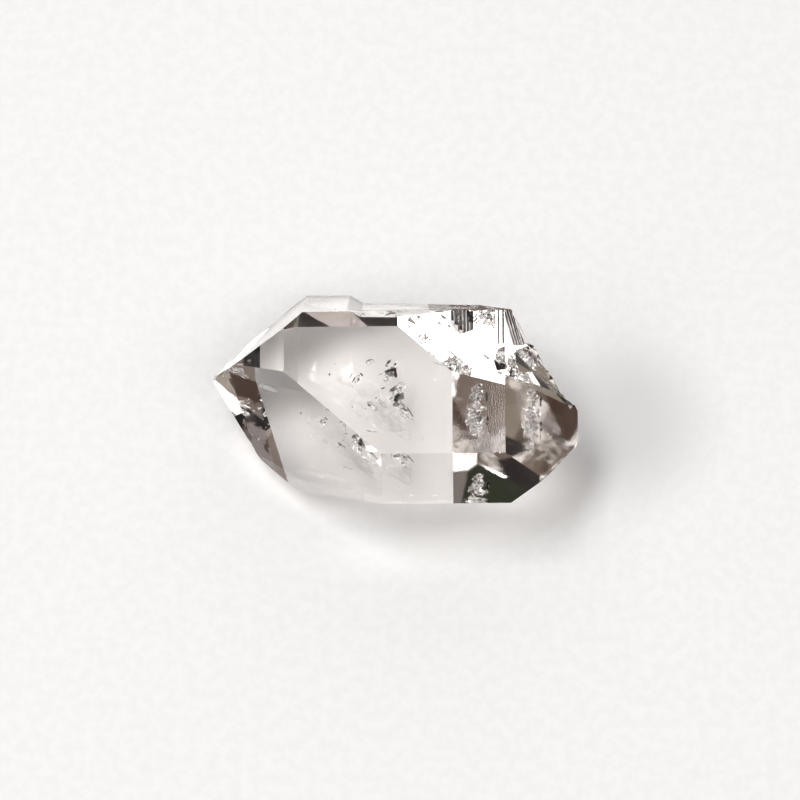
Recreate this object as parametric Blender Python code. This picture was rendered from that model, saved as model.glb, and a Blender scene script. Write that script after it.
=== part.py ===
"""Herkimer diamond: one clear, doubly terminated quartz crystal lying on a flat prism face.

Axes: +X runs along the crystal's length, from the long slanted end to the blunt end,
+Y is the back and +Z is up. The origin is the middle of the crystal's box, on the face
that it rests on. The crystal is grown in the script as the real one is: each flat face
is a plane at a fixed angle, and only its distance from the middle is free. Its growth
ledges, striated steps, pits and broken edges are then cut from those flat faces.
Places on a face are pairs in mm: the first runs up the crystal's length in the face,
and the second across it, both from the foot of the face's normal.
"""
import math
import random

import bmesh
import bpy
from mathutils import Matrix, Vector, geometry

MM = 0.001

# Angle between the long axis of quartz and the normal of a face on its pointed ends.
END_FACE_ANGLE = math.radians(51.79)

# Distance in mm of each face from the middle, keyed by its turn about the long axis
# in degrees: 0 is the top face, 90 the back and 180 the face underneath.
FACES = {
    "side": {0: 6.285, 60: 7.62, 120: 9.14, 180: 6.285, 240: 7.51, 300: 9.25},
    "left": {0: 10.24, 60: 10.37, 120: 12.04, 180: 9.75, 240: 10.76, 300: 7.72},
    "right": {0: 10.63, 120: 7.42, 180: 7.93, 240: 11.83},
}

# The block that the faces are cut from, and how far the cutters reach out of it, in mm.
BLOCK = 60.0
REACH = 6.0

# Corners lost in one flat break each: a point on the break and its normal, in mm.
CORNER_BREAKS = (
    {"through": (-14.62, 1.95, -0.50), "normal": (-0.93, 0.12, 0.36)},
    {"through": (14.93, -1.75, 1.60), "normal": (0.86, 0.50, -0.10)},
    {"through": (14.86, -4.74, 1.70), "normal": (0.90, -0.43, 0.05)},
    {"through": (12.05, -8.30, 3.86), "normal": (0.62, -0.66, 0.42)},
    {"through": (-11.40, 1.90, -3.44), "normal": (-0.700, 0.0, -0.714)},
)

# Growth ledge in the upper back face, and its depth along the face.
LEDGE_OUTLINE = ((-3.6, 12.0), (-3.6, -2.1), (7.2, -2.1), (7.6, 12.0))
LEDGE_DEPTHS = ((-3.6, -0.05), (-2.45, 0.70), (0.38, 0.77), (7.2, -0.02))

# Striated steps in the back face of the blunt end: where each lies, the stretch that
# its ridges cross, their pitch, their slope and its share of the pitch. The bed is how
# deep the ridges lie at least, and the wander is how unevenly they are spaced.
STRIATED_STEPS = {
    "striated_step": {
        "outline": ((0.4, -1.8), (1.2, -1.2), (2.9, -3.0), (2.9, -9.0), (0.4, -9.0)),
        "from": 0.4, "to": 2.9, "pitch": 0.40, "slope": -0.72, "share": 0.48},
    "striated_corner": {
        "outline": ((4.9, -2.4), (6.9, -3.8), (7.7, -4.9), (7.3, -6.0), (7.0, -7.3), (7.6, -12.0), (4.9, -12.0)),
        "from": 4.9, "to": 7.7, "pitch": 0.42, "slope": 0.195, "share": 0.80},
}
STRIATION_BED = 0.035
STRIATION_WANDER = 0.35

# Hackly breaks in the same face, beside its outer edge, stepped across the face. Each
# bed sinks evenly across the face, and its facets swing about that lean.
BREAKS = {
    "upper_break": ((6.90, -7.30), (7.45, -6.00), (7.95, -5.20), (10.50, -5.20), (8.50, -7.50)),
    "high_break": ((7.90, -5.26), (8.05, -4.80), (6.92, -3.50), (12.00, -3.47), (10.50, -5.24)),
    "middle_break": ((6.95, -3.56), (5.20, -1.90), (13.40, -1.87), (12.10, -3.54)),
    "low_break": (
        (5.15, -1.95), (4.90, -0.60), (5.30, 0.20), (7.40, -1.20), (8.60, -0.45), (10.80, -1.30),
        (13.10, -0.95), (14.00, -1.93)),
}
BREAK_BED = 0.06
BREAK_LEAN = (0.05, 0.17)
BREAK_SWING = 0.04
BREAK_PACE = 0.80

# Edges that are broken unevenly: the two faces that meet there, the faces that end the
# edge, the share of it that is broken, the least and greatest loss in mm and the pace
# of the breaks along it.
RAGGED_EDGES = {
    "blunt_back_edge": {
        "faces": (("right", 0), ("right", 120)), "ends": (("side", 60), ("right", 180)),
        "share": (0.0, 0.97), "loss": (0.02, 0.20), "pace": 0.42},
    "blunt_front_edge": {
        "faces": (("right", 0), ("right", 240)), "ends": (("side", 300), ("right", 180)),
        "share": (0.05, 0.90), "loss": (0.01, 0.10), "pace": 0.50},
    "top_back_edge": {
        "faces": (("side", 0), ("side", 60)), "ends": (("left", 60), ("right", 0)),
        "share": (0.42, 0.98), "loss": (-0.04, 0.09), "pace": 0.55},
    "long_lower_edge": {
        "faces": (("left", 300), ("left", 180)), "ends": (("left", 60), ("left", 240)),
        "share": (0.42, 1.0), "loss": (0.00, 0.11), "pace": 0.70},
    "under_back_edge": {
        "faces": (("side", 180), ("right", 120)), "ends": (("side", 120), ("right", 180)),
        "share": (0.60, 0.98), "loss": (-0.03, 0.12), "pace": 0.50},
    "front_top_edge": {
        "faces": (("side", 0), ("side", 300)), "ends": (("left", 300), ("right", 0)),
        "share": (0.86, 1.0), "loss": (0.00, 0.06), "pace": 0.40},
}

# Shell-shaped pits: face, place, radii along and across the face, and depth, in mm.
SHELL_PITS = (
    {"face": ("left", 300), "place": (-9.25, 3.02), "radii": (0.62, 0.42), "depth": 0.10},
    {"face": ("left", 300), "place": (-10.25, 2.75), "radii": (0.40, 0.30), "depth": 0.08},
    {"face": ("left", 300), "place": (-11.45, 1.95), "radii": (0.36, 0.30), "depth": 0.08},
    {"face": ("right", 120), "place": (3.95, -0.20), "radii": (0.55, 0.36), "depth": 0.09},
    {"face": ("right", 120), "place": (5.35, 0.90), "radii": (0.50, 0.36), "depth": 0.07},
    {"face": ("right", 0), "place": (7.75, -4.65), "radii": (0.34, 0.26), "depth": 0.05},
)

# Three-sided growth pits in the back face of the blunt end: place, size and turn.
GROWTH_PITS = (
    {"place": (-3.95, 0.35), "size": 0.62, "turn": 20},
    {"place": (-3.10, -0.55), "size": 0.45, "turn": 75},
    {"place": (-4.10, 1.25), "size": 0.34, "turn": 140},
    {"place": (-0.45, -2.15), "size": 0.52, "turn": 200},
    {"place": (0.05, -1.45), "size": 0.36, "turn": 330},
    {"place": (-0.95, -1.10), "size": 0.40, "turn": 260},
    {"place": (0.90, 0.10), "size": 0.24, "turn": 100},
)
GROWTH_PIT_SLOPE = 0.24

GLASS_COLOUR = (0.93, 0.92, 0.91, 1.0)
GLASS_IOR = 1.544


def face_normal(face):
    """Outward normal of a face, given as its family and its turn in degrees."""
    family, turn = face
    angle = math.radians(turn)
    around = Vector((0.0, math.sin(angle), math.cos(angle)))
    if family == "side":
        return around
    end = 1 if family == "right" else -1
    return Vector((end * math.cos(END_FACE_ANGLE), 0.0, 0.0)) + around * math.sin(END_FACE_ANGLE)


def face_distance(face):
    """Distance of a face from the middle, in mm."""
    family, turn = face
    return FACES[family][turn]


def face_axes(face):
    """Local axes of a face in mm: X up the length, Y across it, Z out of the crystal."""
    normal = face_normal(face)
    length = Vector((1.0, 0.0, 0.0))
    along = (length - normal * length.dot(normal)).normalized()
    across = normal.cross(along)
    turn = Matrix((along, across, normal)).transposed().to_4x4()
    return Matrix.Translation(normal * face_distance(face)) @ turn


def corner(first, second, third):
    """Point in mm where three faces meet."""
    normals = Matrix((face_normal(first), face_normal(second), face_normal(third)))
    distances = Vector((face_distance(first), face_distance(second), face_distance(third)))
    return normals.inverted() @ distances


def new_object(name, body, parent):
    """Write a bmesh, built in mm, to a new object under the parent."""
    bmesh.ops.recalc_face_normals(body, faces=body.faces)
    mesh = bpy.data.meshes.new(name)
    body.to_mesh(mesh)
    body.free()
    obj = bpy.data.objects.new(name, mesh)
    bpy.context.scene.collection.objects.link(obj)
    obj.parent = parent
    return obj


def keep_inside(body, normal, distance):
    """Cut away what lies beyond a plane and close the cut with one flat face."""
    everything = body.verts[:] + body.edges[:] + body.faces[:]
    cut = bmesh.ops.bisect_plane(
        body, geom=everything, plane_co=normal * distance, plane_no=normal,
        clear_outer=True, dist=1e-6)
    edges = [item for item in cut["geom_cut"] if isinstance(item, bmesh.types.BMEdge)]
    if edges:
        bmesh.ops.contextual_create(body, geom=edges)


def grow_crystal(parent):
    """The crystal with its ideal flat faces and its broken corners."""
    block = bmesh.new()
    bmesh.ops.create_cube(block, size=BLOCK)
    for family, turns in FACES.items():
        for turn in turns:
            face = (family, turn)
            keep_inside(block, face_normal(face), face_distance(face))
    for lost in CORNER_BREAKS:
        normal = Vector(lost["normal"]).normalized()
        keep_inside(block, normal, normal.dot(Vector(lost["through"])))
    return new_object("crystal", block, parent)


def carve(crystal, cutter):
    """Take the cutter's shape out of the crystal."""
    cutter.hide_render = True
    cutter.display_type = "WIRE"
    cut = crystal.modifiers.new(cutter.name, "BOOLEAN")
    cut.operation = "DIFFERENCE"
    cut.solver = "EXACT"
    cut.object = cutter


def cutter_over(name, parent, sheet, axes, floor):
    """Closed cutter over a flat sheet on a face; floor gives the depth at a place."""
    under = sheet.verts[:]
    raised = bmesh.ops.extrude_face_region(sheet, geom=sheet.faces[:])
    for item in raised["geom"]:
        if isinstance(item, bmesh.types.BMVert):
            item.co.z = REACH
    for vert in under:
        vert.co.z = -floor(vert.co.x, vert.co.y)
    bmesh.ops.triangulate(sheet, faces=sheet.faces)
    bmesh.ops.transform(sheet, matrix=axes, verts=sheet.verts)
    return new_object(name, sheet, parent)


def depth_along(depths):
    """Function of a place, read from pairs of a place along the face and a depth."""
    def floor(x, _):
        for (near, start), (far, end) in zip(depths, depths[1:]):
            if x <= far + 1e-5:
                return start + (end - start) * (x - near) / (far - near)
        return depths[-1][1]
    return floor


def recess(name, parent, axes, outline, depths):
    """Cutter for a ledge whose depth changes along the face only."""
    sheet = bmesh.new()
    sheet.faces.new([sheet.verts.new((x, y, 0.0)) for x, y in outline])
    for place, _ in depths[1:-1]:
        everything = sheet.verts[:] + sheet.edges[:] + sheet.faces[:]
        bmesh.ops.bisect_plane(
            sheet, geom=everything, plane_co=(place, 0.0, 0.0), plane_no=(1.0, 0.0, 0.0), dist=1e-6)
    return cutter_over(name, parent, sheet, axes, depth_along(depths))


def striations(name, start, end, pitch, slope, share):
    """Depths of fine ridges: a slope over a share of each pitch and a return over the rest."""
    chance = random.Random(name)
    places = [start]
    while places[-1] < end - 0.5 * pitch:
        places.append(places[-1] + pitch * chance.uniform(1.0 - STRIATION_WANDER, 1.0 + STRIATION_WANDER))
    places[-1] = end
    depths = []
    for near, far in zip(places, places[1:]):
        rise = abs(slope) * share * (far - near)
        first, second = (rise, 0.0) if slope < 0.0 else (0.0, rise)
        depths.append((near, STRIATION_BED + first))
        depths.append((near + share * (far - near), STRIATION_BED + second))
    depths.append((end, STRIATION_BED))
    return depths


def hackly_break(name, parent, axes, outline):
    """Cutter for an uneven break: many small facets that lean alike and tilt at random."""
    chance = random.Random(name)
    corners = [Vector(point) for point in outline]
    low = [min(point[axis] for point in corners) for axis in range(2)]
    high = [max(point[axis] for point in corners) for axis in range(2)]
    inner = []
    y = low[1] + 0.5 * BREAK_PACE
    while y < high[1]:
        x = low[0] + 0.5 * BREAK_PACE
        while x < high[0]:
            wander = Vector((chance.uniform(-0.3, 0.3), chance.uniform(-0.3, 0.3))) * BREAK_PACE
            place = Vector((x, y)) + wander
            if all((b - a).cross(place - a) * winding(corners) > 0.25 * BREAK_PACE * (b - a).length
                   for a, b in zip(corners, corners[1:] + corners[:1])):
                inner.append(place)
            x += BREAK_PACE
        y += BREAK_PACE
    rim = len(corners)
    sides = [(index, (index + 1) % rim) for index in range(rim)]
    places, _, faces, *_ = geometry.delaunay_2d_cdt(corners + inner, sides, [], 1, 1e-5)
    lean = Vector(BREAK_LEAN)
    shallow = min(lean.dot(point) for point in corners)
    depths = {}
    for place in places:
        depths[tuple(round(value, 4) for value in place)] = (
            BREAK_BED + lean.dot(place) - shallow + chance.uniform(0.0, BREAK_SWING))
    sheet = bmesh.new()
    verts = [sheet.verts.new((place.x, place.y, 0.0)) for place in places]
    for face in faces:
        sheet.faces.new([verts[index] for index in face])
    return cutter_over(
        name, parent, sheet, axes, lambda x, y: depths[(round(x, 4), round(y, 4))])


def winding(corners):
    """1 for an outline that runs anticlockwise and -1 for one that runs clockwise."""
    area = sum(a.cross(b) for a, b in zip(corners, corners[1:] + corners[:1]))
    return 1 if area > 0 else -1


def ragged_edge(name, parent, faces, ends, share, loss, pace):
    """Cutter that breaks the edge between two faces unevenly along a share of it."""
    chance = random.Random(name)
    first, second = (face_normal(face) for face in faces)
    outward = (first + second).normalized()
    start, end = (corner(faces[0], faces[1], other) for other in ends)
    start, end = start.lerp(end, share[0]), start.lerp(end, share[1])
    side = outward.cross((end - start).normalized())
    half_width = (loss[1] + 0.2) / math.tan(first.angle(second) / 2)
    count = max(3, round((end - start).length / pace))
    body = bmesh.new()
    rings = []
    for index in range(count + 1):
        wander = chance.uniform(-0.3, 0.3) if 0 < index < count else 0.0
        place = start.lerp(end, (index + wander) / count)
        last = index in (0, count)
        left = -0.1 if last else chance.uniform(*loss)
        right = -0.1 if last else chance.uniform(*loss)
        rings.append([
            body.verts.new(place + side * half_width - outward * left),
            body.verts.new(place - side * half_width - outward * right),
            body.verts.new(place + outward * REACH)])
    for ring, after in zip(rings, rings[1:]):
        for index in range(3):
            following = (index + 1) % 3
            body.faces.new((ring[index], ring[following], after[following], after[index]))
    body.faces.new(rings[0])
    body.faces.new(reversed(rings[-1]))
    bmesh.ops.triangulate(body, faces=body.faces)
    return new_object(name, body, parent)


def shell_pit(name, parent, axes, place, radii, depth, ripples=2, sides=12):
    """Cutter for a shell-shaped break: a shallow dish with rings in it, in mm."""
    body = bmesh.new()
    rings = []
    steps = 2 * ripples + 1
    for step in range(1, steps + 1):
        share = step / steps
        ripple = 0.14 * depth * (-1) ** step if step < steps else -0.02
        ring = []
        for index in range(sides):
            angle = math.tau * index / sides
            wobble = 1.0 + 0.10 * math.sin(3.0 * angle + place[0]) + 0.06 * math.cos(5.0 * angle)
            ring.append(body.verts.new((
                place[0] + radii[0] * share * wobble * math.cos(angle),
                place[1] + radii[1] * share * wobble * math.sin(angle),
                -depth * (1.0 - share ** 2) - ripple)))
        rings.append(ring)
    rings.append([body.verts.new((vert.co.x, vert.co.y, REACH)) for vert in rings[-1]])
    bottom = body.verts.new((place[0], place[1], -depth))
    for index in range(sides):
        body.faces.new((bottom, rings[0][(index + 1) % sides], rings[0][index]))
    for ring, after in zip(rings, rings[1:]):
        for index in range(sides):
            following = (index + 1) % sides
            body.faces.new((ring[index], ring[following], after[following], after[index]))
    body.faces.new(rings[-1])
    bmesh.ops.triangulate(body, faces=body.faces)
    bmesh.ops.transform(body, matrix=axes, verts=body.verts)
    return new_object(name, body, parent)


def growth_pit(name, parent, axes, place, size, turn):
    """Cutter for a three-sided hollow that comes to a point, in mm."""
    body = bmesh.new()
    overlap = 0.02
    rim = []
    for index in range(3):
        angle = math.radians(turn + 120 * index)
        reach = size * (1.35 if index == 0 else 0.85)
        rim.append(Vector((place[0] + reach * math.cos(angle), place[1] + reach * math.sin(angle), overlap)))
    tip = body.verts.new((place[0], place[1], -size * GROWTH_PIT_SLOPE))
    low = [body.verts.new(point) for point in rim]
    for index in range(3):
        body.faces.new((tip, low[(index + 1) % 3], low[index]))
    body.faces.new(low)
    bmesh.ops.transform(body, matrix=axes, verts=body.verts)
    return new_object(name, body, parent)


def make_glass():
    """Clear colourless quartz."""
    material = bpy.data.materials.new("clear_quartz")
    material.use_nodes = True
    shader = material.node_tree.nodes["Principled BSDF"]
    shader.inputs["Base Color"].default_value = GLASS_COLOUR
    shader.inputs["Roughness"].default_value = 0.02
    shader.inputs["Metallic"].default_value = 0.0
    shader.inputs["IOR"].default_value = GLASS_IOR
    shader.inputs["Transmission Weight"].default_value = 1.0
    return material


def stand_on_origin(crystal, middle):
    """Move the middle so that the finished crystal's box stands centred on the origin."""
    bpy.context.view_layer.update()
    finished = crystal.evaluated_get(bpy.context.evaluated_depsgraph_get())
    points = [finished.matrix_world @ vert.co for vert in finished.data.vertices]
    low = [min(point[axis] for point in points) for axis in range(3)]
    high = [max(point[axis] for point in points) for axis in range(3)]
    middle.location = (-(low[0] + high[0]) / 2, -(low[1] + high[1]) / 2, -low[2])
    bpy.context.view_layer.update()


def main():
    """Build the crystal and stand it with its box's bottom centre on the origin."""
    for obj in list(bpy.data.objects):
        bpy.data.objects.remove(obj)
    middle = bpy.data.objects.new("crystal_middle", None)
    middle.scale = (MM, MM, MM)
    bpy.context.scene.collection.objects.link(middle)
    crystal = grow_crystal(middle)
    crystal.data.materials.append(make_glass())

    blunt_back = face_axes(("right", 120))
    carve(crystal, recess("growth_ledge", middle, face_axes(("side", 60)), LEDGE_OUTLINE, LEDGE_DEPTHS))
    for name, step in STRIATED_STEPS.items():
        depths = striations(name, step["from"], step["to"], step["pitch"], step["slope"], step["share"])
        carve(crystal, recess(name, middle, blunt_back, step["outline"], depths))
    for name, outline in BREAKS.items():
        carve(crystal, hackly_break(name, middle, blunt_back, outline))
    for name, edge in RAGGED_EDGES.items():
        carve(crystal, ragged_edge(name, middle, **edge))
    for index, pit in enumerate(SHELL_PITS):
        carve(crystal, shell_pit(
            f"shell_pit_{index}", middle, face_axes(pit["face"]), pit["place"], pit["radii"], pit["depth"]))
    for index, pit in enumerate(GROWTH_PITS):
        carve(crystal, growth_pit(f"growth_pit_{index}", middle, blunt_back, **pit))
    stand_on_origin(crystal, middle)


main()
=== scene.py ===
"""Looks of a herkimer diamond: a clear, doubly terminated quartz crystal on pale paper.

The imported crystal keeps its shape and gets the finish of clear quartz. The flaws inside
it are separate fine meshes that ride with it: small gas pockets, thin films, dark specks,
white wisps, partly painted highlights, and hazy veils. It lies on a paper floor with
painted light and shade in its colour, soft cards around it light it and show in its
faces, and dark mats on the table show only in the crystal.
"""

import logging
import math
import random
from dataclasses import dataclass, field
from enum import Enum
from typing import Protocol

import bmesh
import bpy
from mathutils import Matrix, Vector, noise


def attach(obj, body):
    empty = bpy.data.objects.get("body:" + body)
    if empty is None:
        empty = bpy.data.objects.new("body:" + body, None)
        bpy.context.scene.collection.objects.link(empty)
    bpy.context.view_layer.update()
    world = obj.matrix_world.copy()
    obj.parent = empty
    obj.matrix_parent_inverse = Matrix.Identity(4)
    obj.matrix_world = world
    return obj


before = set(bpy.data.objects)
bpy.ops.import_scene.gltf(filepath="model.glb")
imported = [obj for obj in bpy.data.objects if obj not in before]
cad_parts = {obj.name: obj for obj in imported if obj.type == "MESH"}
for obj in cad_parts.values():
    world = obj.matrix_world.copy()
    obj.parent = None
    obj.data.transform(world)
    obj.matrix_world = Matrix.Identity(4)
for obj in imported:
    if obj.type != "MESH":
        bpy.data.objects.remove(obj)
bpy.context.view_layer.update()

log = logging.getLogger("herkimer")

MM = 0.001

# Where the middle that the crystal grew about stands along X in the frame, and how high
# it stands above the rest face, in mm.
MIDDLE_X = -0.2113
MIDDLE_HEIGHT = 6.285

# Angle between the long axis of quartz and the normal of an end face.
END_FACE_ANGLE = math.radians(51.79)

Colour = tuple[float, float, float, float]
Place = tuple[float, float, float]
Reach = tuple[float, float]

WHITE: Colour = (1.0, 1.0, 1.0, 1.0)
UPWARD = Vector((0.0, 0.0, 1.0))

# How strongly the finer layers of every noise show in it.
NOISE_ROUGHNESS = 0.55


def direction(azimuth: float, elevation: float) -> Vector:
    """Unit vector of a direction given by two angles.

    Args:
        azimuth: degrees from +X towards +Y.
        elevation: degrees above level.

    Returns:
        The unit vector.
    """
    turn = math.radians(azimuth)
    rise = math.radians(elevation)
    return Vector((math.cos(rise) * math.cos(turn), math.cos(rise) * math.sin(turn), math.sin(rise)))


def in_crystal(place: Place) -> Vector:
    """Frame point of a place given in mm from the crystal's middle, as x, y and height over the rest face."""
    return Vector((place[0] + MIDDLE_X, place[1], place[2])) * MM


def end_face_normal(end: int, turn: float) -> Vector:
    """Outward normal of an end face.

    Args:
        end: -1 for the left end and 1 for the blunt right end.
        turn: the face's turn about the long axis, in degrees from the top.

    Returns:
        The unit normal.
    """
    around = math.radians(turn)
    rise = math.sin(END_FACE_ANGLE)
    return Vector((end * math.cos(END_FACE_ANGLE), rise * math.sin(around), rise * math.cos(around)))


class Wire:
    """A shader socket that takes part in Python sums.

    Args:
        bench: the tree that the socket belongs to.
        socket: the output socket.
    """

    def __init__(self, bench: "Bench", socket: bpy.types.NodeSocket) -> None:
        """Keep the tree and the socket."""
        self.bench = bench
        self.socket = socket

    def _math(self, operation: str, *values: object) -> "Wire":
        """One Math node on the given values."""
        return self.bench.node("ShaderNodeMath", {"operation": operation}, dict(enumerate(values)))

    def __add__(self, other: object) -> "Wire":
        """Sum."""
        return self._math("ADD", self, other)

    __radd__ = __add__

    def __mul__(self, other: object) -> "Wire":
        """Product."""
        return self._math("MULTIPLY", self, other)

    __rmul__ = __mul__

    def __rsub__(self, other: object) -> "Wire":
        """A number less this wire."""
        return self._math("SUBTRACT", other, self)

    def step(self, low: float, high: float) -> "Wire":
        """Smooth rise from 0 at low to 1 at high."""
        return self.bench.node(
            "ShaderNodeMapRange", {"interpolation_type": "SMOOTHSTEP"},
            {"Value": self, "From Min": low, "From Max": high})


class Bench:
    """The node tree of one material, filled through a single method.

    Args:
        name: the material's name.
    """

    def __init__(self, name: str) -> None:
        """Start an empty material."""
        self.material = bpy.data.materials.new(name)
        self.material.use_nodes = True
        self.tree = self.material.node_tree
        self.tree.nodes.clear()

    def node(
            self, kind: str, settings: dict | None = None, inputs: dict | None = None,
            output: str | int = 0) -> Wire:
        """Add a node.

        Args:
            kind: the node's type.
            settings: attributes, set first.
            inputs: values or wires by socket name or index.
            output: which output to return.

        Returns:
            The chosen output as a wire.
        """
        made = self.tree.nodes.new(kind)
        for key, value in (settings or {}).items():
            setattr(made, key, value)
        for key, value in (inputs or {}).items():
            if isinstance(value, Wire):
                self.tree.links.new(value.socket, made.inputs[key])
            else:
                made.inputs[key].default_value = value
        return Wire(self, made.outputs[output])

    def place(self) -> Wire:
        """Place on the piece, in metres from the frame's origin."""
        return self.node("ShaderNodeTexCoord", {}, {}, "Object")

    def bump(self, height: Wire, distance: float = MM, strength: float = 1.0) -> Wire:
        """Normal of a surface that is raised by a height, over a distance in metres."""
        return self.node("ShaderNodeBump", {}, {"Strength": strength, "Distance": distance, "Height": height})

    def vector(self, operation: str, place: Wire, other: Place | None = None) -> Wire:
        """Add one Vector Math node.

        Args:
            operation: the node's operation.
            place: the first vector.
            other: the second vector, where the operation takes one.

        Returns:
            The result, which is a number for a length or a dot product.
        """
        inputs = {0: place} if other is None else {0: place, 1: other}
        output = "Value" if operation in ("LENGTH", "DOT_PRODUCT") else "Vector"
        return self.node("ShaderNodeVectorMath", {"operation": operation}, inputs, output)

    def noise(self, place: Wire, size: float, detail: float) -> Wire:
        """Cloudy noise from 0 to 1 whose lumps are about the given size in mm."""
        return self.node("ShaderNodeTexNoise", {}, {
            "Vector": place, "Scale": 1.0 / (size * MM), "Detail": detail,
            "Roughness": NOISE_ROUGHNESS})

    def blend(self, share: Wire, first: Colour | Wire, second: Colour | Wire) -> Wire:
        """Colour that goes from the first to the second as the share goes from 0 to 1."""
        return self.node("ShaderNodeMix", {"data_type": "RGBA"}, {0: share, 6: first, 7: second}, 2)

    def finish(self, surface: Wire, volume: Wire | None = None) -> bpy.types.Material:
        """Link the shaders to the material's output.

        Args:
            surface: the surface shader.
            volume: the volume shader, if there is one.

        Returns:
            The material.
        """
        made = self.tree.nodes.new("ShaderNodeOutputMaterial")
        self.tree.links.new(surface.socket, made.inputs["Surface"])
        if volume is not None:
            self.tree.links.new(volume.socket, made.inputs["Volume"])
        return self.material


@dataclass(frozen=True)
class EtchedFace:
    """An end face with fine etch figures: its end, turn and distance, and how deep they are.

    The turn is in degrees and the distance from the crystal's middle in mm.
    """

    end: int
    turn: float
    distance: float
    strength: float


@dataclass(frozen=True)
class ClearQuartz:
    """Water-clear quartz with a faint warm smoky tint.

    Two end faces that look down are finely etched, so they mirror the room a little
    unevenly; the other faces only have very low waves. Lengths are in mm, and a slope is
    a height over a length.
    """

    ior: float = 1.544
    smoke: Colour = (0.80, 0.72, 0.66, 1.0)
    smoke_density: float = 14.0
    etched: tuple[EtchedFace, ...] = (
        EtchedFace(1, 180.0, 7.93, 1.0),
        EtchedFace(-1, 180.0, 9.75, 0.1),
    )
    etch_size: float = 0.16
    etch_slope: float = 0.006
    waviness_size: float = 3.2
    waviness_slope: float = 0.0012
    skin: Reach = (0.030, 0.010)

    def make(self) -> bpy.types.Material:
        """Make the material.

        Returns:
            The material.
        """
        bench = Bench("clear_quartz")
        place = bench.place()
        etch = bench.noise(place, self.etch_size, detail=3.0)
        waves = bench.noise(place, self.waviness_size, detail=1.0)
        first, second = (self.face_mask(bench, place, face) * face.strength for face in self.etched)
        height = (
            etch * (first + second) * (self.etch_size * self.etch_slope)
            + waves * (self.waviness_size * self.waviness_slope))
        surface = bench.node("ShaderNodeBsdfPrincipled", {}, {
            "Base Color": WHITE,
            "Roughness": 0.0,
            "IOR": self.ior,
            "Transmission Weight": 1.0,
            "Normal": bench.bump(height)})
        volume = bench.node("ShaderNodeVolumeAbsorption", {}, {
            "Color": self.smoke,
            "Density": self.smoke_density})
        return bench.finish(surface, volume)

    def face_mask(self, bench: Bench, place: Wire, face: EtchedFace) -> Wire:
        """Mask of one etched face.

        Args:
            bench: the material's node tree.
            place: the place on the crystal.
            face: the face.

        Returns:
            1 on the plane of the face, and 0 from a thin skin below it inwards.
        """
        normal = end_face_normal(face.end, face.turn)
        foot = (normal.dot(Vector((MIDDLE_X, 0.0, MIDDLE_HEIGHT))) + face.distance) * MM
        deep, shallow = (depth * MM for depth in self.skin)
        return bench.vector("DOT_PRODUCT", place, tuple(normal)).step(foot - deep, foot - shallow)


@dataclass(frozen=True)
class GasPocket:
    """The finely rippled wall between quartz and the gas of a pocket inside it; lengths in mm."""

    ior: float = 1.544
    ripple_size: float = 0.05
    ripple_height: float = 0.0012

    def make(self) -> bpy.types.Material:
        """Make the material.

        Returns:
            The material.
        """
        bench = Bench("gas_pocket_wall")
        ripple = bench.noise(bench.place(), self.ripple_size, detail=1.0) * self.ripple_height
        surface = bench.node("ShaderNodeBsdfPrincipled", {}, {
            "Roughness": 0.0,
            "IOR": self.ior,
            "Transmission Weight": 1.0,
            "Normal": bench.bump(ripple)})
        return bench.finish(surface)


@dataclass(frozen=True)
class Inclusion:
    """An opaque or filmy filling in the crystal, in two tones.

    The grain is the size of the patches of tone, and the relief the depth of the surface,
    both in mm. The cover is how much a film hides where it is thinnest and thickest, and
    the cover scale says how much larger than the grain its patches are.
    """

    name: str
    dark: Colour
    pale: Colour
    grain: float
    roughness: float
    cover: Reach = (1.0, 1.0)
    tone_edges: Reach = (0.38, 0.66)
    cover_edges: Reach = (0.40, 0.78)
    cover_scale: float = 2.0
    relief: float = 0.03
    relief_strength: float = 0.6

    def make(self) -> bpy.types.Material:
        """Make the material.

        Returns:
            The material.
        """
        bench = Bench(self.name)
        place = bench.place()
        spread = bench.noise(place, self.grain, detail=3.0)
        inputs = {
            "Base Color": bench.blend(spread.step(*self.tone_edges), self.dark, self.pale),
            "Roughness": self.roughness,
            "Normal": bench.bump(spread, self.relief * MM, self.relief_strength)}
        thin, thick = self.cover
        if thin < 1.0:
            patches = bench.noise(place, self.grain * self.cover_scale, detail=5.0).step(*self.cover_edges)
            inputs["Alpha"] = patches * (thick - thin) + thin
        return bench.finish(bench.node("ShaderNodeBsdfPrincipled", {}, inputs))


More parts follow.
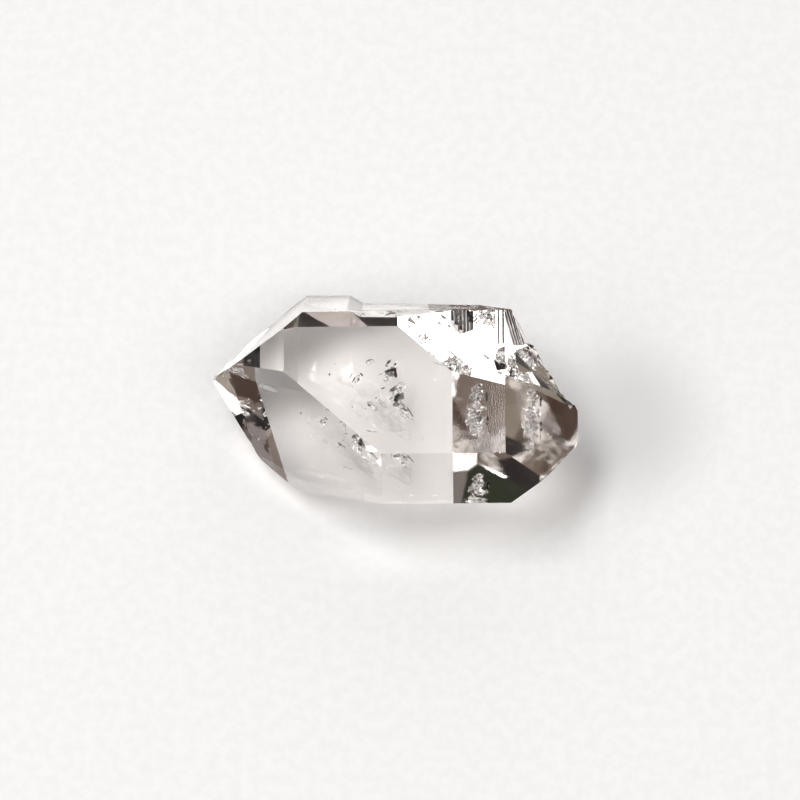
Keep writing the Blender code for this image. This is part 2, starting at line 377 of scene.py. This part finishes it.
@dataclass(frozen=True)
class Paper:
    """Plain pale paper with a faint grain and soft changes of tone.

    Its soft changes of tone are painted light and shade: where the crystal covers it the
    paper is painted palest, and painted shade darkens it towards the left back. Painted light
    makes it a little paler just in front of the crystal, and a painted shadow makes it a
    little darker just to the right of it; lengths in mm.
    """

    colour: Colour = (0.690, 0.692, 0.697, 1.0)
    fibre: Colour = (0.662, 0.664, 0.669, 1.0)
    # The next four colours are painted light and shade on the paper, not its own tone.
    painted_light_under: Colour = (0.98, 0.97, 0.965, 1.0)
    shaded: Colour = (0.50, 0.48, 0.47, 1.0)
    painted_light_front: Colour = (0.84, 0.84, 0.84, 1.0)
    painted_shadow_right: Colour = (0.55, 0.55, 0.555, 1.0)
    cover_reach: Reach = (6.0, 9.5)
    cover_stretch: float = 0.62
    shade_heading: Place = (-0.50, 0.87, 0.0)
    shade_reach: Reach = (5.0, 9.0)
    lift_reach: Reach = (5.0, 12.0)
    lift_end: Reach = (9.0, 14.0)
    dim_middle: Place = (18.5, 0.0, 0.0)
    dim_reach: Reach = (2.0, 10.0)
    fibre_edges: Reach = (0.35, 0.65)
    grain: float = 0.9
    relief: float = 0.05
    relief_strength: float = 0.25
    roughness: float = 0.9

    def make(self) -> bpy.types.Material:
        """Make the material.

        Returns:
            The material.
        """
        bench = Bench("pale_paper")
        place = bench.place()
        fibres = bench.noise(place, self.grain, detail=4.0)
        distance = bench.vector("LENGTH", bench.vector("MULTIPLY", place, (self.cover_stretch, 1.0, 0.0)))
        back = bench.vector("DOT_PRODUCT", place, self.shade_heading)
        right = tuple(part * MM for part in self.dim_middle)
        beside = bench.vector("LENGTH", bench.vector("SUBTRACT", place, right))
        # Painted light under the crystal, fading into painted shade towards the left back.
        under = bench.blend(self.rise(back, self.shade_reach), self.painted_light_under, self.shaded)
        open_paper = bench.blend(fibres.step(*self.fibre_edges), self.fibre, self.colour)
        # Painted light that makes the paper paler just in front of the crystal.
        lift = self.rise(0.0 - back, self.lift_reach) * (1.0 - self.rise(distance, self.lift_end))
        open_paper = bench.blend(lift, open_paper, self.painted_light_front)
        # Painted shadow just to the right of the crystal.
        open_paper = bench.blend(self.rise(beside, self.dim_reach), self.painted_shadow_right, open_paper)
        surface = bench.node("ShaderNodeBsdfPrincipled", {}, {
            "Base Color": bench.blend(self.rise(distance, self.cover_reach), under, open_paper),
            "Roughness": self.roughness,
            "Normal": bench.bump(fibres, self.relief * MM, self.relief_strength)})
        return bench.finish(surface)

    @staticmethod
    def rise(length: Wire, reach: Reach) -> Wire:
        """Smooth rise from 0 to 1 over a reach in mm."""
        return length.step(reach[0] * MM, reach[1] * MM)


@dataclass(frozen=True)
class CardLight:
    """A card that glows evenly."""

    name: str
    colour: Colour
    strength: float

    def make(self) -> bpy.types.Material:
        """Make the material.

        Returns:
            The material.
        """
        bench = Bench(self.name)
        glow = bench.node("ShaderNodeEmission", {}, {"Color": self.colour, "Strength": self.strength})
        return bench.finish(glow)


@dataclass(frozen=True)
class Table:
    """A brown table in patches of a size in mm, which glows so that its tone stays even far away."""

    dark: Colour = (0.045, 0.034, 0.030, 1.0)
    light: Colour = (0.235, 0.190, 0.135, 1.0)
    patch: float = 30.0
    patch_edges: Reach = (0.34, 0.66)

    def make(self) -> bpy.types.Material:
        """Make the material.

        Returns:
            The material.
        """
        bench = Bench("brown_table")
        share = bench.noise(bench.place(), self.patch, detail=4.0).step(*self.patch_edges)
        glow = bench.node("ShaderNodeEmission", {}, {
            "Color": bench.blend(share, self.dark, self.light), "Strength": 1.0})
        return bench.finish(glow)


class Tone(Enum):
    """What a card of the studio is made of, as its colour and strength."""

    KEY = ((1.0, 0.99, 0.98, 1.0), 3.0)
    SKY = ((1.0, 0.985, 0.975, 1.0), 14.5)
    HIGH = ((1.0, 0.99, 0.98, 1.0), 4.2)
    WINDOW = ((1.0, 0.98, 0.96, 1.0), 1.05)
    BRIGHT = ((1.0, 0.98, 0.96, 1.0), 2.0)
    LIT_WALL = ((0.62, 0.56, 0.53, 1.0), 1.0)
    WALL = ((0.21, 0.165, 0.14, 1.0), 1.0)
    SIDE_WALL = ((0.27, 0.235, 0.19, 1.0), 1.0)
    BROWN = ((0.080, 0.052, 0.042, 1.0), 1.0)
    SHADE = ((0.018, 0.017, 0.017, 1.0), 1.0)
    DUSK = ((0.030, 0.026, 0.026, 1.0), 1.0)
    LEAF = ((0.036, 0.042, 0.027, 1.0), 1.0)
    GLINT = ((1.0, 0.98, 0.96, 1.0), 2.0)

    def glow(self, name: str) -> CardLight:
        """Finish of a card in this tone, under the card's name."""
        colour, strength = self.value
        return CardLight(name, colour, strength)


def stage_panel(
        name: str, middle: Vector, across: Vector, up: Vector, finish: CardLight | Paper) -> bpy.types.Object:
    """Make a flat panel and stage it.

    Args:
        name: the panel's name.
        middle: its middle, in metres.
        across: from the middle to the middle of one side.
        up: from the middle to the middle of the side after that.
        finish: the panel's finish.

    Returns:
        The panel's object.
    """
    corners = [middle + across * x + up * y for x, y in ((-1, -1), (1, -1), (1, 1), (-1, 1))]
    return stage_mesh(name, corners, [(0, 1, 2, 3)], finish)


def stage_mesh(
        name: str, corners: list[Vector], faces: list[tuple[int, ...]],
        finish: CardLight | Paper | Table) -> bpy.types.Object:
    """Make a mesh that belongs to the stage.

    Args:
        name: the object's name.
        corners: its corners, in metres.
        faces: the corners of each face, by number.
        finish: the finish of all of it.

    Returns:
        The object.
    """
    mesh = bpy.data.meshes.new(name)
    mesh.from_pydata(corners, [], faces)
    mesh.materials.append(finish.make())
    made = bpy.data.objects.new(name, mesh)
    bpy.context.scene.collection.objects.link(made)
    return made


def show_in_crystal_only(staged: bpy.types.Object) -> bpy.types.Object:
    """Let a staged object neither light nor shade the paper, nor show beside the crystal.

    Args:
        staged: the object.

    Returns:
        The same object.
    """
    staged.visible_camera = False
    staged.visible_diffuse = False
    staged.visible_shadow = False
    return staged


@dataclass(frozen=True)
class Card:
    """One flat card around the crystal.

    Its middle stands at an azimuth and elevation seen from the crystal, and its half
    width and half height are angles too, all in degrees.
    """

    name: str
    tone: Tone
    azimuth: float
    elevation: float
    half_width: float
    half_height: float
    distance: float = 1.0

    def build(self) -> bpy.types.Object:
        """Make the card, facing the crystal.

        Returns:
            The card's object.
        """
        out = direction(self.azimuth, self.elevation)
        across = UPWARD.cross(out).normalized()
        width = self.distance * math.tan(math.radians(self.half_width))
        height = self.distance * math.tan(math.radians(self.half_height))
        card = stage_panel(
            self.name, out * self.distance, across * width, out.cross(across) * height,
            self.tone.glow(self.name))
        card.visible_camera = False
        return card


@dataclass(frozen=True)
class Glint:
    """A small bright card close to the crystal that only shows as a glint in one face.

    Its middle is given in mm from the crystal's middle, with its height over the rest
    face; it faces back along a direction given as azimuth and elevation in degrees, and
    its half sizes are in mm.
    """

    name: str
    middle: Place
    azimuth: float
    elevation: float
    half_width: float
    half_height: float

    def build(self) -> bpy.types.Object:
        """Make the card.

        Returns:
            The card's object.
        """
        out = direction(self.azimuth, self.elevation)
        across = UPWARD.cross(out).normalized() * (self.half_width * MM)
        up = out.cross(across).normalized() * (self.half_height * MM)
        card = stage_panel(self.name, in_crystal(self.middle), across, up, Tone.GLINT.glow(self.name))
        return show_in_crystal_only(card)


@dataclass(frozen=True)
class TableRing:
    """Part of the table around the paper, as a flat ring that only shows in the crystal.

    The radii and the height are in metres, and the ring runs from one turn to another,
    in degrees from +X towards +Y.
    """

    name: str
    finish: Table | CardLight
    inner: float
    outer: float
    height: float
    turns: tuple[float, float] = (0.0, 360.0)
    steps: int = 48

    def build(self) -> bpy.types.Object:
        """Make the ring.

        Returns:
            The ring's object.
        """
        start, end = (math.radians(turn) for turn in self.turns)
        turns = [start + (end - start) * step / self.steps for step in range(self.steps + 1)]
        corners = [
            Vector((radius * math.cos(turn), radius * math.sin(turn), self.height))
            for turn in turns for radius in (self.inner, self.outer)]
        faces = [(2 * step, 2 * step + 1, 2 * step + 3, 2 * step + 2) for step in range(self.steps)]
        return show_in_crystal_only(stage_mesh(self.name, corners, faces, self.finish))


@dataclass
class Studio:
    """The paper floor, the table around it, the cards and the world behind them.

    Lengths are in metres, and the walls are cards that overlap in a ring.
    """

    floor_half: float = 1.6
    air_gap: float = 0.00005
    wall_turn: int = 30
    wall_elevation: float = 9.0
    wall_half_width: float = 15.2
    wall_half_height: float = 12.0
    wall_distance: float = 1.25
    world_colour: Colour = (0.54, 0.48, 0.44, 1.0)
    world_strength: float = 0.44
    cards: tuple[Card, ...] = field(default_factory=lambda: (
        Card("key_window", Tone.KEY, -151, 41, 15, 11),
        Card("high_window", Tone.HIGH, -66, 60, 21, 8),
        Card("skylight", Tone.SKY, 165, 74, 15, 8.5),
        Card("back_window", Tone.WINDOW, 86, 36.5, 35, 16),
        Card("front_strip", Tone.BRIGHT, -18, 45, 19, 5),
        Card("left_window", Tone.BRIGHT, 160, 52, 18, 7),
        Card("shade_right", Tone.SHADE, -28, 29, 13, 8, 0.98),
        Card("shade_front", Tone.SHADE, -58, 32, 17, 9, 0.97),
        Card("shade_camera", Tone.SHADE, -92, 33, 18, 9, 0.98),
        Card("shade_left", Tone.DUSK, -118, 32, 11, 9, 0.99),
        Card("shade_low", Tone.SHADE, -57, 8, 11, 11, 0.98),
        Card("shade_overhead", Tone.DUSK, 80, 68, 22, 5, 0.98),
        Card("lit_wall", Tone.LIT_WALL, 66, 17, 14, 4, 0.98),
        Card("warm_corner", Tone.WALL, 23, 20, 9, 7, 0.97),
        Card("leaf_shade", Tone.LEAF, 147, 6, 16, 9, 0.98),
        Card("side_wall", Tone.SIDE_WALL, -179, 33, 10, 5, 0.98),
        Card("low_side_wall", Tone.DUSK, -179, 23.5, 10, 4.2, 0.98),
        Card("low_corner", Tone.BROWN, 25, 6, 12, 8, 0.98),
        Card("right_corner", Tone.BROWN, -27, 9, 10, 6, 0.98),
    ))
    rings: tuple[TableRing, ...] = field(default_factory=lambda: (
        TableRing("table_ring", Table(), 0.042, 1.5, 0.0004),
        TableRing("dark_mat", Tone.DUSK.glow("dark_mat"), 0.015, 0.070, 0.0008, (187, 292), 14),
        TableRing("brown_mat", Tone.BROWN.glow("brown_mat"), 0.0108, 0.060, 0.0008, (-25, 80), 14),
        TableRing("grey_mat", Tone.SIDE_WALL.glow("grey_mat"), 0.018, 0.060, 0.0008, (-40, -25), 4),
    ))
    tip_glint: Glint = Glint("tip_glint", (32.1, -24.7, 2.8), -50.4, -13.0, 1.15, 1.5)

    def build(self) -> None:
        """Make the floor, the table, the cards, the ring of walls and the world."""
        self.build_floor()
        walls = tuple(
            Card(
                f"wall_{turn:03d}", Tone.WALL, turn, self.wall_elevation, self.wall_half_width,
                self.wall_half_height, self.wall_distance)
            for turn in range(0, 360, self.wall_turn))
        for staged in (*self.rings, self.tip_glint, *self.cards, *walls):
            staged.build()
        self.build_world()

    def build_floor(self) -> bpy.types.Object:
        """Make the pale floor just under the crystal.

        Returns:
            The floor's object.
        """
        half = self.floor_half
        across = Vector((half, 0.0, 0.0))
        up = Vector((0.0, half, 0.0))
        return stage_panel("paper_floor", UPWARD * -self.air_gap, across, up, Paper())

    def build_world(self) -> None:
        """Make the even light of the room."""
        world = bpy.data.worlds.new("room")
        world.use_nodes = True
        back = world.node_tree.nodes["Background"]
        back.inputs["Color"].default_value = self.world_colour
        back.inputs["Strength"].default_value = self.world_strength
        bpy.context.scene.world = world


@dataclass
class Viewpoint:
    """The camera, at the photograph's viewing angle.

    Its place, lens and sensor are in mm, and the nearest and farthest that it sees in metres.
    """

    place: Vector = field(default_factory=lambda: Vector((12.95, -171.79, 461.58)))
    up: Vector = field(default_factory=lambda: Vector((0.00955, 0.93573, 0.35258)))
    right: Vector = field(default_factory=lambda: Vector((0.99963, 0.0, -0.02708)))
    lens: float = 270.0
    sensor: float = 36.0
    nearest: float = 0.01
    farthest: float = 20.0

    def build(self, middle: Vector) -> bpy.types.Object:
        """Make the camera.

        Args:
            middle: where the crystal's own middle stands, in metres.

        Returns:
            The camera's object.
        """
        data = bpy.data.cameras.new("photo_view")
        data.lens = self.lens
        data.sensor_width = self.sensor
        data.clip_start = self.nearest
        data.clip_end = self.farthest
        camera = bpy.data.objects.new("photo_view", data)
        bpy.context.scene.collection.objects.link(camera)
        back = self.right.cross(self.up)
        turn = Matrix((self.right, self.up, back)).transposed().to_4x4()
        camera.matrix_world = Matrix.Translation(self.place * MM + middle) @ turn
        bpy.context.scene.camera = camera
        return camera


@dataclass
class Crystal:
    """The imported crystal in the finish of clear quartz."""

    node: str = "crystal"

    def dress(self) -> bpy.types.Object:
        """Put the quartz finish on the crystal.

        Returns:
            The crystal's object.
        """
        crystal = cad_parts[self.node]
        crystal.data.materials.clear()
        crystal.data.materials.append(ClearQuartz().make())
        return crystal


class Shape(Protocol):
    """A closed body that can be added to the mesh of a piece."""

    def add(self, mesh: bmesh.types.BMesh) -> None:
        """Add the body to the mesh."""


@dataclass(frozen=True)
class Sliver:
    """A needle between two places that swells in the middle; widths in mm.

    The thickness is a share of the width, and the bumps are how many waves of unevenness
    go into a metre.
    """

    start: Place
    end: Place
    start_width: float
    end_width: float
    thickness: float = 0.6
    rings: int = 8
    sides: int = 8
    unevenness: float = 0.5
    bumps: float = 9000.0

    def add(self, mesh: bmesh.types.BMesh) -> None:
        """Add the needle to the mesh.

        Args:
            mesh: the mesh that gets the needle.
        """
        start = in_crystal(self.start)
        along = in_crystal(self.end) - start
        across = along.cross(UPWARD).normalized()
        up = across.cross(along).normalized()
        tips = [mesh.verts.new(start), mesh.verts.new(start + along)]
        rows = [self.ring(mesh, start, along, across, up, step / self.rings) for step in range(1, self.rings)]
        for side in range(self.sides):
            after = (side + 1) % self.sides
            mesh.faces.new((tips[0], rows[0][after], rows[0][side]))
            mesh.faces.new((tips[1], rows[-1][side], rows[-1][after]))
            for row, following in zip(rows, rows[1:]):
                mesh.faces.new((row[side], row[after], following[after], following[side]))

    def ring(
            self, mesh: bmesh.types.BMesh, start: Vector, along: Vector, across: Vector, up: Vector,
            share: float) -> list[bmesh.types.BMVert]:
        """One ring of corners at a share of the length.

        Args:
            mesh: the mesh that gets the corners.
            start: the needle's first tip.
            along: from the first tip to the second.
            across: sideways, level.
            up: the third direction.
            share: how far along the ring stands, from 0 to 1.

        Returns:
            The ring's corners in order.
        """
        wide = self.start_width + (self.end_width - self.start_width) * share
        middle = start + along * share
        swell = 1.0 + self.unevenness * noise.noise(middle * self.bumps)
        reach = 0.5 * wide * MM * math.sin(math.pi * share) ** 0.5 * swell
        turns = [math.tau * side / self.sides for side in range(self.sides)]
        return [
            mesh.verts.new(
                middle + across * (reach * math.cos(turn)) + up * (reach * self.thickness * math.sin(turn)))
            for turn in turns]


@dataclass(frozen=True)
class Lump:
    """A rounded body about a place, with its half sizes in mm and its roughness.

    The turn about the upright and the lean are in degrees. The lobes are how many swellings
    go into its radius, and the seed scale lets lumps at different places differ.
    """

    middle: Place
    half: Place
    turn: float = 0.0
    roughness: float = 0.35
    lean: float = 0.0
    lobes: float = 1.6
    seed_scale: float = 3000.0
    detail: int = 3

    def add(self, mesh: bmesh.types.BMesh) -> None:
        """Add the lump to the mesh.

        Args:
            mesh: the mesh that gets the lump.
        """
        made = bmesh.ops.create_icosphere(mesh, subdivisions=self.detail, radius=1.0)
        middle = in_crystal(self.middle)
        turn = (
            Matrix.Rotation(math.radians(self.turn), 3, "Z")
            @ Matrix.Rotation(math.radians(self.lean), 3, "X"))
        for corner in made["verts"]:
            out = corner.co.normalized()
            swell = 1.0 + self.roughness * noise.noise(out * self.lobes + middle * self.seed_scale)
            corner.co = middle + turn @ Vector((
                out.x * self.half[0], out.y * self.half[1], out.z * self.half[2])) * (swell * MM)


@dataclass(frozen=True)
class Swarm:
    """Upright flat pockets scattered along a line in plan, between two heights.

    Lengths are in mm and angles in degrees. A pocket's half height is a share of the room
    between the two heights, and it strays from the line and from upright by chance.
    """

    middle: tuple[float, float]
    reach: float
    heading: float
    heights: Reach
    count: int
    seed: int
    half_widths: Reach = (0.10, 0.30)
    half_depths: Reach = (0.03, 0.07)
    height_shares: Reach = (0.10, 0.27)
    stray: float = 0.15
    turn_stray: float = 14.0
    roughness: float = 0.5

    def add(self, mesh: bmesh.types.BMesh) -> None:
        """Add the pockets to the mesh.

        Args:
            mesh: the mesh that gets the pockets.
        """
        chance = random.Random(self.seed)
        heading = math.radians(self.heading)
        low, high = self.heights
        for _ in range(self.count):
            along = chance.uniform(-self.reach, self.reach)
            aside = chance.gauss(0.0, self.stray)
            tall = chance.uniform(*self.height_shares) * (high - low)
            place = (
                self.middle[0] + along * math.cos(heading) - aside * math.sin(heading),
                self.middle[1] + along * math.sin(heading) + aside * math.cos(heading),
                chance.uniform(low + tall, high - tall))
            half = (chance.uniform(*self.half_widths), chance.uniform(*self.half_depths), tall)
            turn = self.heading + chance.gauss(0.0, self.turn_stray)
            Lump(place, half, turn, self.roughness, chance.gauss(0.0, self.turn_stray)).add(mesh)


@dataclass(frozen=True)
class Veil:
    """A thin wavy sheet about a place, with lengths in mm and its tilt and turn in degrees.

    Its rim runs in and out by a share of its half sizes, and its middle sways up and down.
    The seed scales let sheets at different places differ.
    """

    middle: Place
    half: tuple[float, float]
    tilt: tuple[float, float] = (0.0, 0.0)
    turn: float = 0.0
    thickness: float = 0.02
    rim_share: float = 0.35
    rim_waves: float = 1.7
    sway: float = 0.12
    sway_waves: float = 0.55
    rim_seed_scale: float = 900.0
    sway_seed_scale: float = 700.0
    detail: int = 4

    def add(self, mesh: bmesh.types.BMesh) -> None:
        """Add the sheet to the mesh.

        Args:
            mesh: the mesh that gets the sheet.
        """
        turn = (
            Matrix.Rotation(math.radians(self.turn), 3, "Z")
            @ Matrix.Rotation(math.radians(self.tilt[1]), 3, "Y")
            @ Matrix.Rotation(math.radians(self.tilt[0]), 3, "X"))
        made = bmesh.ops.create_icosphere(mesh, subdivisions=self.detail, radius=1.0)
        middle = in_crystal(self.middle)
        for corner in made["verts"]:
            out = corner.co.normalized()
            flat = Vector((out.x * self.half[0], out.y * self.half[1], 0.0))
            around = Vector((out.x, out.y, 0.0)) * self.rim_waves
            flat = flat * (1.0 + self.rim_share * noise.noise(around + middle * self.rim_seed_scale))
            wave = self.sway * noise.noise(flat * self.sway_waves + middle * self.sway_seed_scale)
            corner.co = middle + turn @ Vector((
                flat.x, flat.y, wave + out.z * self.thickness * 0.5)) * MM


@dataclass
class Filling:
    """One piece made of all the flaws that share a finish.

    A hollow one has gas in it and quartz around it, so its faces point into it.
    """

    name: str
    finish: GasPocket | Inclusion
    shapes: tuple[Shape, ...]
    hollow: bool = False

    def build(self) -> bpy.types.Object:
        """Make the piece inside the crystal and dress it.

        Returns:
            The piece's object.
        """
        form = bmesh.new()
        for shape in self.shapes:
            shape.add(form)
        bmesh.ops.recalc_face_normals(form, faces=form.faces)
        if self.hollow:
            bmesh.ops.reverse_faces(form, faces=form.faces)
        for face in form.faces:
            face.smooth = True
        mesh = bpy.data.meshes.new(self.name)
        form.to_mesh(mesh)
        form.free()
        mesh.materials.append(self.finish.make())
        piece = bpy.data.objects.new(self.name, mesh)
        bpy.context.scene.collection.objects.link(piece)
        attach(piece, "root")
        return piece


@dataclass
class Flaws:
    """Everything that is held inside the crystal.

    Places and sizes are in mm, with x and y from the crystal's middle and the height over
    the rest face.
    """

    carbon: tuple[Shape, ...] = (
        Lump((0.10, 2.16, 3.98), (0.27, 0.15, 0.10), 12.0, 0.6),
        Lump((0.27, 1.84, 3.98), (0.12, 0.36, 0.09), 4.0, 0.6),
        Sliver((-0.66, 1.98, 3.98), (0.10, 2.22, 3.98), 0.12, 0.30),
        Sliver((-0.34, 1.76, 3.96), (-0.60, 1.98, 3.98), 0.05, 0.10),
        Sliver((-0.46, 2.78, 3.35), (-0.15, 3.14, 3.35), 0.12, 0.20),
        Lump((0.25, 2.81, 3.35), (0.06, 0.08, 0.05)),
        Lump((-0.06, 2.52, 3.35), (0.07, 0.05, 0.04)),
        Lump((0.47, -0.07, 3.98), (0.20, 0.17, 0.10), 30.0, 0.7),
        Lump((0.31, -0.46, 3.98), (0.16, 0.16, 0.10), 0.0, 0.8),
        Sliver((0.71, -1.11, 3.96), (1.34, -1.42, 3.96), 0.14, 0.09),
        Sliver((1.34, -1.42, 3.96), (1.20, -1.03, 3.96), 0.05, 0.05),
        Sliver((1.18, -1.00, 3.96), (1.72, -1.98, 3.96), 0.06, 0.11),
        Sliver((0.59, -0.63, 3.96), (1.02, -1.05, 3.96), 0.06, 0.07),
        Sliver((-2.95, 1.72, 3.66), (-3.27, 1.14, 3.66), 0.12, 0.07),
        Sliver((-2.60, 2.00, 3.66), (-2.36, 1.70, 3.66), 0.20, 0.11),
        Lump((-2.73, 1.38, 3.66), (0.10, 0.07, 0.05), 30.0),
        Lump((-5.08, 1.91, 3.60), (0.06, 0.10, 0.05)),
    )
    smoke: tuple[Shape, ...] = (
        Sliver((-0.24, 0.42, 3.30), (0.80, 1.26, 3.30), 0.34, 0.06, 0.2),
        Sliver((-0.10, 0.44, 3.32), (0.40, 0.66, 3.32), 0.16, 0.16, 0.2),
        Sliver((-0.60, 2.76, 3.35), (-0.34, 2.58, 3.35), 0.14, 0.14, 0.3),
        Lump((0.30, -0.70, 3.28), (0.24, 0.17, 0.03), 15.0, 0.7),
        Lump((-0.16, 1.98, 3.33), (0.30, 0.20, 0.03), -25.0, 0.8),
        Sliver((-2.05, 3.02, 3.40), (-1.84, 3.22, 3.40), 0.10, 0.08),
        Sliver((-1.86, 3.22, 3.40), (-1.56, 3.19, 3.40), 0.07, 0.05),
        Sliver((-2.10, -2.82, 3.00), (-1.66, -2.96, 3.00), 0.12, 0.06),
        Sliver((-1.70, -2.94, 3.00), (-1.10, -3.00, 3.00), 0.05, 0.05),
        Sliver((3.26, 3.02, 3.00), (4.32, 2.66, 3.00), 0.05, 0.04),
        Sliver((3.86, 3.10, 3.00), (4.40, 3.22, 3.00), 0.04, 0.03),
        Sliver((-1.14, 1.80, 3.50), (-0.80, 1.98, 3.50), 0.06, 0.09),
        Sliver((-0.94, 0.60, 3.50), (-0.56, 0.76, 3.50), 0.12, 0.06),
        Lump((-4.64, 2.82, 3.50), (0.07, 0.05, 0.03)),
        Lump((-3.23, -0.92, 3.50), (0.08, 0.05, 0.03)),
        Lump((-2.16, -1.08, 3.50), (0.06, 0.06, 0.03)),
        Lump((-1.87, -0.76, 3.50), (0.10, 0.14, 0.03), 40.0, 0.9),
        Lump((-1.31, -0.16, 3.50), (0.09, 0.05, 0.03), 50.0),
        Lump((0.62, -0.02, 3.30), (0.34, 0.24, 0.02), 35.0, 0.9),
    )
    gas: tuple[Shape, ...] = (
        Lump((0.99, -1.49, 3.10), (0.35, 0.27, 0.13), -12.0, 0.12),
        Lump((1.62, -1.88, 2.90), (0.15, 0.08, 0.05), -20.0, 0.2),
        Lump((0.63, 0.34, 3.34), (0.17, 0.14, 0.06), 10.0, 0.3),
        Lump((0.07, 1.99, 3.35), (0.11, 0.10, 0.05), 0.0, 0.2),
        Lump((-0.30, 2.98, 3.30), (0.30, 0.12, 0.04), 48.0, 0.4),
        Lump((-2.76, 1.66, 3.62), (0.16, 0.12, 0.05), 20.0, 0.5),
        Lump((-1.82, 3.02, 3.38), (0.34, 0.18, 0.04), 18.0, 0.5),
        Lump((-0.80, -0.62, 3.38), (0.48, 0.12, 0.04), -52.0, 0.5),
        Lump((-1.60, -0.80, 3.40), (0.40, 0.20, 0.03), -40.0, 0.6),
        Swarm((-0.05, 2.15), 0.8, 48.0, (2.65, 3.80), 12, 3),
        Swarm((0.38, 0.55), 0.9, 55.0, (2.25, 3.90), 14, 5),
        Swarm((0.55, -0.55), 0.9, -70.0, (2.15, 3.90), 16, 8),
        Swarm((1.10, -1.30), 0.8, -52.0, (2.20, 3.80), 13, 13),
        Swarm((-2.80, 1.64), 0.4, 52.0, (3.00, 3.90), 5, 21),
        Lump((-12.28, 1.98, 8.40), (0.44, 0.24, 0.16), 20.0, 0.5),
        Lump((-12.62, 2.02, 8.10), (0.26, 0.18, 0.14), 45.0, 0.5),
        Lump((-11.86, 1.86, 8.66), (0.30, 0.14, 0.12), 65.0, 0.5),
        Lump((-13.30, 2.00, 7.30), (0.20, 0.15, 0.12), 10.0, 0.5),
    )
    # White milky wisps, partly painted highlights: the small ones sit where bright glints show, and the large
    # one near the left end is a painted reflection of a window.
    milk_and_glints: tuple[Shape, ...] = (
        Sliver((-3.36, 1.00, 3.66), (-3.05, 0.76, 3.66), 0.14, 0.16),
        Sliver((-1.02, -0.32, 3.40), (-0.56, -0.96, 3.40), 0.07, 0.16),
        Sliver((-2.14, 2.96, 3.36), (-1.86, 2.76, 3.36), 0.10, 0.10),
        Sliver((0.62, -0.62, 3.24), (0.84, -0.80, 3.24), 0.12, 0.12),
        Sliver((-0.72, 2.48, 3.34), (-0.50, 2.30, 3.34), 0.06, 0.08),
        Sliver((-10.62, 0.54, 8.86), (-8.90, -0.50, 9.78), 0.72, 0.66, 0.4, 12, 10),
    )
    cloud: tuple[Shape, ...] = (
        Veil((-3.2, 0.2, 3.30), (2.6, 1.5), (4.0, -3.0), -28.0),
        Veil((-1.0, -1.7, 3.10), (2.2, 1.1), (-4.0, 2.0), -24.0),
        Veil((0.9, -2.4, 2.90), (1.9, 1.0), (3.0, 4.0), -30.0),
    )

    def build(self) -> list[bpy.types.Object]:
        """Make a piece for each finish.

        Returns:
            The pieces.
        """
        black = Inclusion(
            "black_carbon", dark=(0.004, 0.0035, 0.003, 1.0), pale=(0.02, 0.016, 0.014, 1.0),
            grain=0.10, roughness=0.35)
        brown = Inclusion(
            "brown_smoke", dark=(0.05, 0.04, 0.034, 1.0), pale=(0.30, 0.26, 0.23, 1.0),
            grain=0.14, roughness=0.7, cover=(0.45, 0.85))
        # Near-white finish of the wisps, which in part paints highlights.
        white = Inclusion(
            "white_milk_and_glints", dark=(0.80, 0.80, 0.80, 1.0), pale=(0.95, 0.95, 0.95, 1.0),
            grain=0.20, roughness=0.5)
        haze = Inclusion(
            "pale_haze", dark=(0.74, 0.72, 0.71, 1.0), pale=(0.92, 0.91, 0.90, 1.0),
            grain=0.9, roughness=0.9, cover=(0.0, 0.26))
        fillings = (
            Filling("carbon_specks", black, self.carbon),
            Filling("smoky_films", brown, self.smoke),
            Filling("gas_pockets", GasPocket(), self.gas, hollow=True),
            # White wisps, partly painted highlights and a painted reflection.
            Filling("milky_wisps_and_glints", white, self.milk_and_glints),
            Filling("hazy_veils", haze, self.cloud),
        )
        return [filling.build() for filling in fillings]


def light_paths() -> None:
    """Let light cross the crystal as often as its many faces ask for."""
    cycles = bpy.context.scene.cycles
    cycles.max_bounces = 24
    cycles.glossy_bounces = 20
    cycles.transmission_bounces = 24
    cycles.transparent_max_bounces = 16
    bpy.context.scene.view_settings.view_transform = "Standard"


def main() -> None:
    """Build the crystal's looks, the studio and the camera, and report each piece."""
    logging.basicConfig(level=logging.INFO, format="%(name)s: %(message)s")
    light_paths()
    crystal = Crystal().dress()
    log.info("%s dressed, %d faces", crystal.name, len(crystal.data.polygons))
    for piece in Flaws().build():
        log.info("%s built, %d faces", piece.name, len(piece.data.polygons))
    Studio().build()
    Viewpoint().build(Vector((MIDDLE_X * MM, 0.0, 0.0)))


if __name__ == "__main__":
    main()
